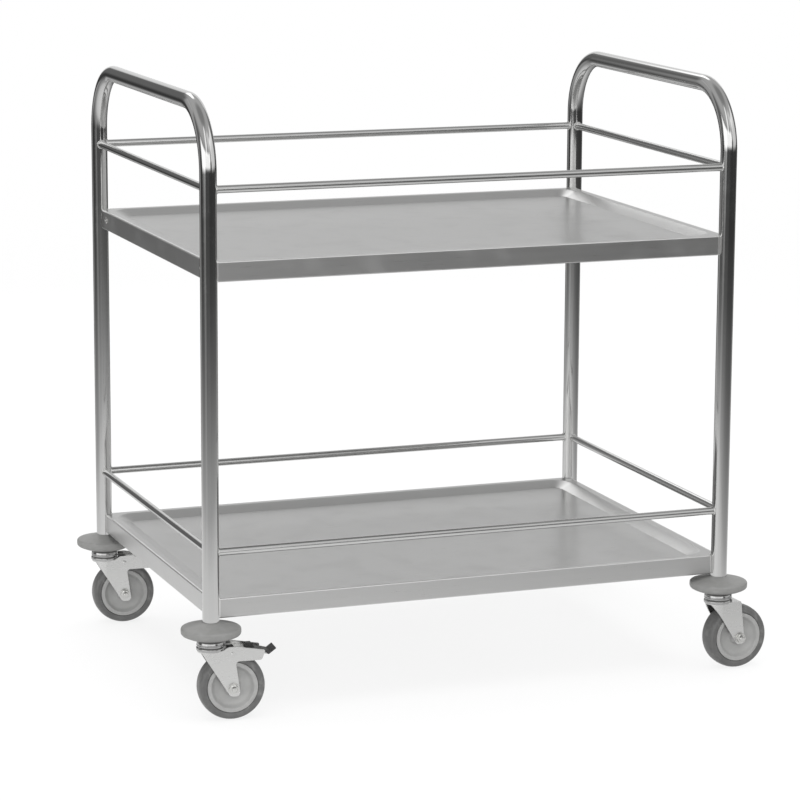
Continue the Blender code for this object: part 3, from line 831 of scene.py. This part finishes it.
def channel_outline(side):
    """The fork from above: straight sides joined by a round nose."""
    end = TRAIL + 60 * MM
    return [Vector((end, -side)), Vector((end, side)), *reversed(nose_arc(side, -math.pi))]


def fork_side(braked):
    """The fork from the side. A braked one reaches back to guide its lever."""
    if braked:
        corners = [
            (-22, 103.5, 0.3), (-22, 107, 0.6), (12, 107, 8), (21, 112.5, 8), (35, 112.5, 30),
            (77, 105, 2), (71.5, 90.5, 4), (32.4, 90.5, 5), (39.5, 37.7, 6), (24.5, 37.7, 7),
            (-16.5, 103.5, 1.5),
        ]
    else:
        corners = [
            (-22, 104.2, 0.3), (-22, 108, 0.6), (30, 108, 2), (37.5, 40, 5), (24, 40, 5),
            (-16.5, 104.2, 1.5),
        ]
    return rounded(in_mm(corners), steps=10)


def top_rounded(mesh, radius):
    """The block with the bend where its top turns down into its outer sides."""
    bm = bmesh.new()
    bm.from_mesh(mesh)
    bmesh.ops.remove_doubles(bm, verts=bm.verts, dist=MERGE)
    bmesh.ops.dissolve_limit(bm, angle_limit=math.radians(1), verts=bm.verts, edges=bm.edges)
    bm.normal_update()
    bends = []
    for edge in bm.edges:
        if len(edge.link_faces) != 2:
            continue
        side, top = sorted(edge.link_faces, key=lambda face: abs(face.normal.z))
        point = (edge.verts[0].co + edge.verts[1].co) / 2
        outside = abs(point.y) > FORK_OUTER - 0.1 * MM or point.xy.length > FORK_OUTER - 0.5 * MM
        upper = abs(side.normal.z) < 0.1 and top.normal.z > 0.3 and point.z > 103 * MM
        if upper and outside and (abs(side.normal.y) > 0.9 or point.x < 0):
            bends.append(edge)
    bmesh.ops.bevel(
        bm, geom=bends, offset=radius, segments=6, profile=0.5, affect="EDGES", clamp_overlap=True
    )
    bm.to_mesh(mesh)
    bm.free()
    return mesh


def fork_mesh(braked):
    """A channel pressed from sheet: the block's outer shape, hollowed and pierced."""
    reach = 2 * FORK_OUTER
    block = combined(
        prism("block", channel_outline(FORK_OUTER), 0, 2 * CROWN_TOP),
        [upright_prism("side", fork_side(braked), -reach, reach)],
        "INTERSECT",
    )
    block = top_rounded(block, (2.2 if braked else 3.6) * MM)
    crown_end = (20 if braked else 29) * MM
    far = TRAIL + 80 * MM
    across_inside = [
        Vector((crown_end, -FORK_INNER)), Vector((far, -FORK_INNER)),
        Vector((far, FORK_INNER)), Vector((crown_end, FORK_INNER)),
    ]
    cutters = [
        prism("hollow", channel_outline(FORK_INNER), -10 * MM, CROWN_LOW),
        prism("open_end", across_inside, -10 * MM, 3 * CROWN_TOP),
        across_hole(TRAIL, AXLE_Z, BOLT_RADIUS + FRAME_GAP),
    ]
    if braked:
        over = [
            Vector((8 * MM, -FORK_INNER)), Vector((far, -FORK_INNER)),
            Vector((far, FORK_INNER)), Vector((8 * MM, FORK_INNER)),
        ]
        cutters.append(prism("over_crown", over, 107 * MM, 3 * CROWN_TOP))
        cutters.append(across_hole(PIVOT.x, PIVOT.z, PIVOT_HOLE))
    circle = arc_points(Vector((0, 0)), STEM_HOLE, 0, math.tau, 32)[:-1]
    bore = prism("bore", circle, 90 * MM, 130 * MM)
    hollowed = combined(block, [*cutters, bore], "DIFFERENCE")
    return edges_softened(hollowed, 0.35 * MM)


def across_hole(x, z, radius):
    circle = arc_points(Vector((x, z)), radius, 0, math.tau, 32)[:-1]
    return upright_prism("hole", circle, -60 * MM, 60 * MM)


def race_mesh():
    """The lower race, a turned ring pressed over the crown."""
    return lathe_mesh(
        "race",
        [
            (6.3, 107.9, 0.2), (6.3, 111.8, 0.3), (20.0, 111.8, 0.8), (22, 109.6, 2.2), (22, 106.0, 0.8),
            (20.9, 105.4, 0.2), (20.9, 107.9, 0.2),
        ],
        96,
    )


def hexagon(bm, low, high, bore):
    """A hexagonal nut or bolt head along Z, with its corners chamfered by a cone at both ends.

    With no bore it is closed, and otherwise it is a ring.
    """
    steps = 96
    flat = HEX_RADIUS * math.cos(math.pi / 6)
    face = 0.95 * flat
    radii = []
    for step in range(steps):
        angle = (math.tau * step / steps) % (math.pi / 3) - math.pi / 6
        radii.append(flat / math.cos(angle))
    fall = [(radius - face) * math.tan(math.radians(28)) for radius in radii]

    def ring(radius_at, height_at):
        points = []
        for step in range(steps):
            angle = math.tau * step / steps
            radius = radius_at(step)
            points.append((radius * math.cos(angle), radius * math.sin(angle), height_at(step)))
        return points

    rings = [
        ring(lambda step: bore, lambda step: high),
        ring(lambda step: face, lambda step: high),
        ring(lambda step: radii[step], lambda step: high - fall[step]),
        ring(lambda step: radii[step], lambda step: low + 0.4 * fall[step]),
        ring(lambda step: face, lambda step: low),
        ring(lambda step: bore, lambda step: low),
    ]
    lengths = running_lengths([points[0] for points in rings], closed=bore > 0)
    around = [math.tau * HEX_RADIUS * step / steps for step in range(steps + 1)]
    skin(bm, rings, lengths, around, closed=bore > 0)


def thread(bm, low, high):
    """A threaded rod along Z with a pointed, rounded end at high."""
    sides = 36
    rows = int((high - low) / THREAD_PITCH * 10)
    rings = []
    for row in range(rows + 1):
        height = low + (high - low) * row / rows
        to_end = high - height
        ring = []
        for side in range(sides):
            turn = side / sides
            phase = (height / THREAD_PITCH - turn) % 1
            groove = THREAD_DEPTH * (1 - abs(2 * phase - 1))
            limit = BOLT_RADIUS - THREAD_POINT + min(to_end, THREAD_POINT)
            radius = min(BOLT_RADIUS - groove, limit)
            angle = math.tau * turn
            ring.append((radius * math.cos(angle), radius * math.sin(angle), height))
        rings.append(ring)
    rings.append([(0.5 * x, 0.5 * y, high + 0.25 * MM) for x, y, _ in rings[-1]])
    rings.append([(0, 0, high + 0.3 * MM)] * sides)
    rings.insert(0, [(0, 0, low)] * sides)
    along = running_lengths([ring[0] for ring in rings], closed=False)
    around = [math.tau * BOLT_RADIUS * side / sides for side in range(sides + 1)]
    skin(bm, rings, along, around, closed=False)


def axle_bolt_mesh():
    """A hexagon bolt along Y: its head at +Y, its threaded end past the nut at -Y."""
    face = FORK_OUTER + FRAME_GAP
    end = face + HEX_HEIGHT + BOLT_STICK_OUT - 0.3 * MM
    shank = [(0, -face - MM), (BOLT_RADIUS, -face - MM), (BOLT_RADIUS, face - MM), (0, face - MM)]
    bm = bmesh.new()
    hexagon(bm, -face - HEX_HEIGHT, -face, 0)
    lathe(bm, shank, 40, closed=False)
    thread(bm, face - 2 * MM, end)
    return across(mesh_from(bm, "axle_bolt"))


def axle_nut_mesh():
    """A nut on its washer, along -Y."""
    low = FORK_OUTER + FRAME_GAP
    washer = in_mm([(4.1, 20.8, 0.1), (4.1, 21.7, 0.2), (8.4, 21.7, 0.3), (8.4, 20.8, 0.1)])
    bm = bmesh.new()
    hexagon(bm, low + 0.9 * MM, low + HEX_HEIGHT, BOLT_RADIUS + 0.05 * MM)
    lathe(bm, rounded(washer, steps=3), 64)
    return across(mesh_from(bm, "axle_nut"))


def mirrored(half):
    """A profile that is the same below z = 0 as above it."""
    return half + [(radius, -height, fillet) for radius, height, fillet in reversed(half)]


def wheel_hub_mesh():
    half = [
        (6.3, 17, 0.3), (10.5, 17, 0.8), (12.6, 9.6, 3), (21, 8.6, 24), (28.2, 11.0, 7),
        (32.2, 15.7, 1.8), (37.8, 15.7, 0.7),
    ]
    return across(lathe_mesh("wheel_hub", mirrored(half), 120))


def tyre_mesh():
    half = [
        (38.1, 14.6, 0.2), (39.4, 15.6, 0.8), (44.5, 16.0, 3), (47.6, 14.2, 4), (49.4, 9, 8),
        (50, 2, 10), (50, 0.35, 0.1), (49.8, 0.2, 0.1),
    ]
    return across(lathe_mesh("tyre", mirrored(half), 144))


# Brake


def softened_copy(node, place, width):
    """The CAD node's own shape in the castor's frame, with its edges rounded."""
    mesh = frame["nodes"][node].data.copy()
    mesh.materials.clear()
    mesh.transform(place.inverted())
    return edges_softened(mesh, width)


def rivet_head(sign):
    """The domed head that closes one end of the brake's pivot."""
    seat = FORK_OUTER / MM + 0.15
    mesh = lathe_mesh(
        "rivet",
        [
            (0, seat + 1.4, 0), (1.8, seat + 1.3, 1.2), (3.3, seat + 0.3, 0.4), (3.3, seat, 0.1),
            (0, seat, 0),
        ],
        48,
        closed=False,
    )
    mesh.transform(Matrix.Rotation(-sign * math.pi / 2, 4, "X"))
    mesh.transform(Matrix.Translation(PIVOT))
    return mesh


def brake_lever_mesh(node, place):
    lever = softened_copy(node, place, 0.3 * MM)
    return joined("brake_lever", lever, rivet_head(-1), rivet_head(1))


# Castors


def build_castors():
    shared = {
        "bumper": (bumper_mesh(), "bumper_rubber"),
        "swivel_cap": (swivel_cap_mesh(), "race_steel"),
        "stem": (stem_mesh(), "fastener_steel"),
    }
    forks = {braked: painted(fork_mesh(braked), "fork_steel") for braked in (True, False)}
    race = painted(race_mesh(), "race_steel")
    axle = {
        "axle_bolt": (axle_bolt_mesh(), "fastener_steel"),
        "axle_nut": (axle_nut_mesh(), "fastener_steel"),
        "wheel_hub": (wheel_hub_mesh(), "hub_plastic"),
        "tyre": (tyre_mesh(), "tyre_rubber"),
    }
    for corner in CORNERS:
        place = castor_place(corner)
        braked = "brake_lever_" + corner in BODY_OF
        for name, (mesh, slot) in shared.items():
            show(f"{name}_{corner}", mesh, slot, Matrix.Translation(POSTS[corner]))
        show("fork_" + corner, forks[braked], "fork_steel", place)
        show("fork_" + corner, race, "race_steel", place, name="fork_race_" + corner)
        wheel_place = place @ Matrix.Translation((TRAIL, 0, AXLE_Z))
        for name, (mesh, slot) in axle.items():
            show(f"{name}_{corner}", mesh, slot, wheel_place)
        if braked:
            lever = brake_lever_mesh("brake_lever_" + corner, place)
            show("brake_lever_" + corner, lever, "fork_steel", place)
            pad = softened_copy("brake_pad_" + corner, place, 0.6 * MM)
            show("brake_pad_" + corner, pad, "pedal_plastic", place)


def repaint_kept_nodes():
    """The hidden CAD nodes keep their shape and get the finished materials."""
    for prefix, slot in (("expander_", "expander_plastic"), ("axle_sleeve_", "fastener_steel")):
        for corner in CORNERS:
            for held in frame["nodes"][prefix + corner].material_slots:
                held.material = FINISHES[slot]


# Stage


def soft_panel(graph, direction, azimuth, half_width, low, high, strength):
    """A soft-edged bright panel in the surroundings, placed by azimuth and elevation in degrees."""
    soft = 4
    level, height = direction
    facing = Vector((math.cos(math.radians(azimuth)), math.sin(math.radians(azimuth)), 0))
    along = graph.node("VectorMath", {0: level, 1: facing}, operation="DOT_PRODUCT").outputs["Value"]
    edges = [math.cos(math.radians(half_width + side * soft)) for side in (1, -1)]
    mask = graph.spread(along, edges[0], edges[1], 0.0, strength, smooth=True)
    bottom = [math.sin(math.radians(low + side * soft)) for side in (-1, 1)]
    top = [math.sin(math.radians(high + side * soft)) for side in (-1, 1)]
    mask = graph.math("MULTIPLY", mask, graph.spread(height, *bottom, 0.0, 1.0, smooth=True))
    return graph.math("MULTIPLY", mask, graph.spread(height, *top, 1.0, 0.0, smooth=True))


def make_world():
    """White behind the object, and a dim studio with a few bright soft panels in its reflections."""
    world = bpy.data.worlds.new("studio")
    world.use_nodes = True
    bpy.context.scene.world = world
    tree = world.node_tree
    tree.nodes.clear()
    graph = Graph(tree)
    direction = graph.node("TexCoord").outputs["Generated"]
    height = graph.node("SeparateXYZ", {0: direction}).outputs["Z"]
    flat = graph.node("VectorMath", {0: direction, 1: (1, 1, 0)}, operation="MULTIPLY").outputs[0]
    level = graph.node("VectorMath", {0: flat}, operation="NORMALIZE").outputs[0]
    light = graph.spread(height, -0.1, 0.12, 0.05, 0.16, smooth=True)
    light = graph.math("ADD", light, graph.spread(height, 0.3, 0.65, 0.0, 0.38, smooth=True))
    light = graph.math("ADD", light, graph.spread(height, 0.84, 0.98, 0.0, -0.24, smooth=True))
    # Each panel's azimuth, half width, low and high edge in degrees, and its strength
    panels = [
        (-162, 22, -4, 24, 1.6),
        (-107, 34, 0, 24, 1.3),
        (-111, 9, 22, 66, 0.8),
        (-25, 28, -2, 40, 0.75),
        (-66, 18, 10, 55, 0.35),
        (84, 8, 26, 50, 1.6),
        (65, 23, -4, 28, 0.68),
        (88, 14, -30, -14, 0.4),
        (128, 12, -20, 30, 0.3),
        (-153, 13, -22, -4, 0.15),
        (-112, 20, -22, 0, 0.03),
        (16, 8, -20, -8, 0.3),
    ]
    for panel in panels:
        light = graph.math("ADD", light, soft_panel(graph, (level, height), *panel))
    studio = graph.node("Background", {"Color": (1, 1, 1, 1), "Strength": light})
    white = graph.node("Background", {"Color": (1, 1, 1, 1), "Strength": 1.0})
    seen = graph.node("LightPath").outputs["Is Camera Ray"]
    mixed = graph.node("MixShader", {0: seen, 1: studio.outputs[0], 2: white.outputs[0]})
    output = graph.node("OutputWorld")
    graph.feed(output.inputs["Surface"], mixed.outputs[0])


def make_floor():
    """A pale disc that thins out with distance, so reflections darken away from the object."""
    bm = bmesh.new()
    bmesh.ops.create_circle(bm, cap_ends=True, segments=96, radius=FLOOR_RADIUS)
    mesh = mesh_from(bm, "floor")
    floor = loose_object("floor", mesh)
    floor.location = FLOOR_CENTRE
    graph, material = start_material("floor_paper")
    tree = graph.tree
    tree.nodes.clear()
    place = graph.node("TexCoord").outputs["Object"]
    distance = graph.node("VectorMath", {0: place}, operation="LENGTH").outputs["Value"]
    ramp = graph.node("ValToRGB", {0: graph.math("DIVIDE", distance, FLOOR_RADIUS)})
    stops = [
        (0, 1), (0.45, 0.9), (0.8, 0.8), (1.0, 0.76), (1.3, 0.6), (1.55, 0.42),
        (1.85, 0.34), (2.3, 0.22), (3.0, 0.11), (4.2, 0.04), (FLOOR_RADIUS, 0),
    ]
    elements = ramp.color_ramp.elements
    while len(elements) < len(stops):
        elements.new(0.5)
    for element, (radius, cover) in zip(elements, stops):
        element.position = radius / FLOOR_RADIUS
        element.color = (cover, cover, cover, 1)
    tint = graph.noise("Object", (3, 3, 3), 2.0)
    colour = graph.mix(graph.spread(tint, 0.3, 0.7, 0.0, 1.0), (0.86, 0.86, 0.86), (0.88, 0.88, 0.88))
    matt = graph.node("BsdfDiffuse", {"Color": colour})
    lift = graph.node("Emission", {"Color": (1, 1, 1, 1), "Strength": 1.0})
    paper = graph.node("MixShader", {0: 0.8, 1: matt.outputs[0], 2: lift.outputs[0]})
    clear = graph.node("BsdfTransparent")
    mixed = graph.node("MixShader", {0: ramp.outputs[0], 1: clear.outputs[0], 2: paper.outputs[0]})
    graph.feed(graph.node("OutputMaterial").inputs["Surface"], mixed.outputs[0])
    mesh.materials.append(material)


def area_light(name, place, size, power):
    """A light that fills the shadows, and that isn't seen in the steel or by the camera."""
    lamp = bpy.data.lights.new(name, "AREA")
    lamp.shape = "RECTANGLE"
    lamp.size, lamp.size_y = size
    lamp.energy = power
    obj = bpy.data.objects.new(name, lamp)
    bpy.context.scene.collection.objects.link(obj)
    obj.location = place
    aim = LIT_POINT - Vector(place)
    obj.rotation_euler = aim.to_track_quat("-Z", "Y").to_euler()
    obj.visible_glossy = False
    obj.visible_camera = False


def make_lights():
    area_light("overhead", (0, 0, 3.4), (3.6, 3.6), 110)
    area_light("fill_front", (-0.8, -3.4, 1.1), (3.4, 1.6), 45)
    area_light("fill_left", (-3.4, 0.2, 1.0), (3.0, 1.6), 30)
    area_light("fill_right", (3.4, 0.4, 1.0), (3.0, 1.6), 30)
    area_light("fill_back", (0.4, 3.4, 1.1), (3.4, 1.6), 30)


def make_camera():
    """The photograph's viewpoint: slightly left of the front, looking gently down, from about 5 m."""
    forward = Vector((math.sin(CAMERA_YAW), math.cos(CAMERA_YAW), 0))
    right = Vector((math.cos(CAMERA_YAW), -math.sin(CAMERA_YAW), 0))
    up = Vector((0, 0, 1))
    place = FRAME_CENTRE - CAMERA_DISTANCE * forward + CAMERA_ASIDE * right + CAMERA_HEIGHT * up
    ahead = forward * math.cos(CAMERA_PITCH) - up * math.sin(CAMERA_PITCH)
    top = up * math.cos(CAMERA_PITCH) + forward * math.sin(CAMERA_PITCH)
    side = right * math.cos(CAMERA_ROLL) + top * math.sin(CAMERA_ROLL)
    head = top * math.cos(CAMERA_ROLL) - right * math.sin(CAMERA_ROLL)
    data = bpy.data.cameras.new("camera")
    data.sensor_width = 36
    data.lens = CAMERA_LENS
    data.clip_end = 100
    camera = bpy.data.objects.new("camera", data)
    bpy.context.scene.collection.objects.link(camera)
    matrix = Matrix((side, head, -ahead)).transposed().to_4x4()
    matrix.translation = place
    camera.matrix_world = matrix
    bpy.context.scene.camera = camera


def main():
    make_camera()
    for side in ("left", "right"):
        build_end_frame(side)
    build_rails()
    build_shelves()
    build_skirt_screws()
    build_castors()
    repaint_kept_nodes()
    make_world()
    make_floor()
    make_lights()
    bpy.context.scene.view_settings.view_transform = "Standard"


main()
